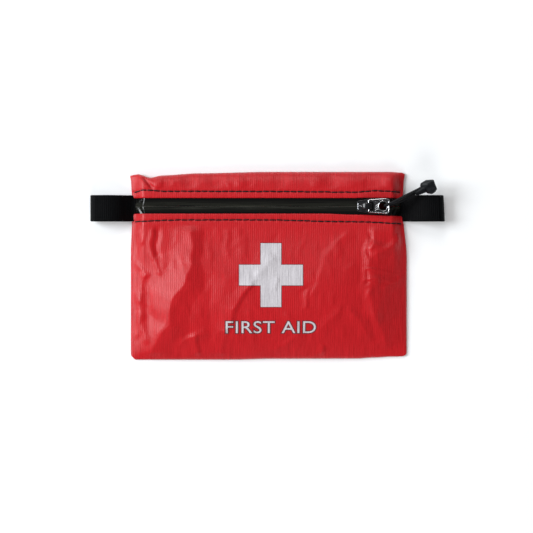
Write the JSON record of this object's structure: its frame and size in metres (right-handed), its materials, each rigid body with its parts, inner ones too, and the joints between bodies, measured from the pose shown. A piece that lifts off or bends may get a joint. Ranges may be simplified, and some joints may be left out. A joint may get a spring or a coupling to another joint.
{
  "type": "first aid kit",
  "caption": "Flat zippered fabric pouch with a front zip, corded puller, webbing side loops and first aid supplies inside.",
  "frame": {"origin": "centre of the back panel's underside, on the surface that the pouch lies on", "axes": "+X along the zip towards its closed end, +Y towards the pouch's top edge, +Z out of the printed front"},
  "size_m": [0.201, 0.1072, 0.0143],
  "materials": {
    "sailcloth": "glossy ribbed laminate",
    "coated_tape": "satin coated tape",
    "coil": "satin monofilament",
    "thread": "bonded thread",
    "slider_paint": "gloss black paint on zinc",
    "spring_steel": "bright",
    "nickel": "polished",
    "cord": "braided",
    "moulded_grip": "satin moulded",
    "webbing": "plain woven webbing",
    "sachet_paper": "matt paper",
    "bandage_wrap": "soft wrap",
    "wipe_foil": "laminated foil",
    "plaster_wrap": "paper wrap"
  },
  "bodies": {
    "pouch": {"back_panel": "sailcloth", "header_strip": "sailcloth", "zipper_tape_upper": "coated_tape", "zipper_coil_upper": "coil", "topstitch_upper": "thread", "gauze_sachet": "sachet_paper", "dressing_pack": "sachet_paper", "bandage_pack": "bandage_wrap", "wipe_sachet_1": "wipe_foil", "wipe_sachet_2": "wipe_foil", "plaster_1": "plaster_wrap", "plaster_2": "plaster_wrap", "plaster_3": "plaster_wrap"},
    "front": {"front_panel": "sailcloth", "zipper_tape_lower": "coated_tape", "zipper_coil_lower": "coil", "topstitch_lower": "thread"},
    "slider": {"slider_body": "slider_paint", "slider_crown": "slider_paint", "lock_spring": "spring_steel"},
    "puller": {"puller_tab": "nickel"},
    "cord": {"pull_cord": "cord", "cord_end": "moulded_grip"},
    "loop_left": {"web_loop_left": "webbing"},
    "loop_right": {"web_loop_right": "webbing"}
  },
  "joints": [
    {"name": "slider_slide", "type": "slide", "parent": "pouch", "child": "slider", "axis": [-1, 0, 0], "range_m": [0, 0.12], "deforming": ["zipper_tape_upper", "zipper_tape_lower", "zipper_coil_upper", "zipper_coil_lower"]},
    {"name": "mouth_open", "type": "hinge", "parent": "pouch", "child": "front", "pos_m": [0, -0.0536, 0.0008], "axis": [1, 0, 0], "range_deg": [0, 13]},
    {"name": "puller_flip", "type": "hinge", "parent": "slider", "child": "puller", "pos_m": [0.0559, 0.034, 0.0092], "axis": [0, -1, 0], "range_deg": [0, 165]},
    {"name": "cord_lift", "type": "hinge", "parent": "puller", "child": "cord", "pos_m": [0.06825, 0.0346, 0.0092], "axis": [-0.454, 0.891, 0], "range_deg": [-100, 0], "deforming": ["pull_cord"]},
    {"name": "loop_left_fold", "type": "hinge", "parent": "pouch", "child": "loop_left", "pos_m": [-0.0794, 0.03285, 0.0029], "axis": [0, -1, 0], "range_deg": [-100, 0]},
    {"name": "loop_right_fold", "type": "hinge", "parent": "pouch", "child": "loop_right", "pos_m": [0.0794, 0.03285, 0.0029], "axis": [0, 1, 0], "range_deg": [-15, 0]}
  ],
  "couplings": [
    {"joint": "mouth_open", "follows": "slider_slide", "rad_per_m": 1.89}
  ]
}
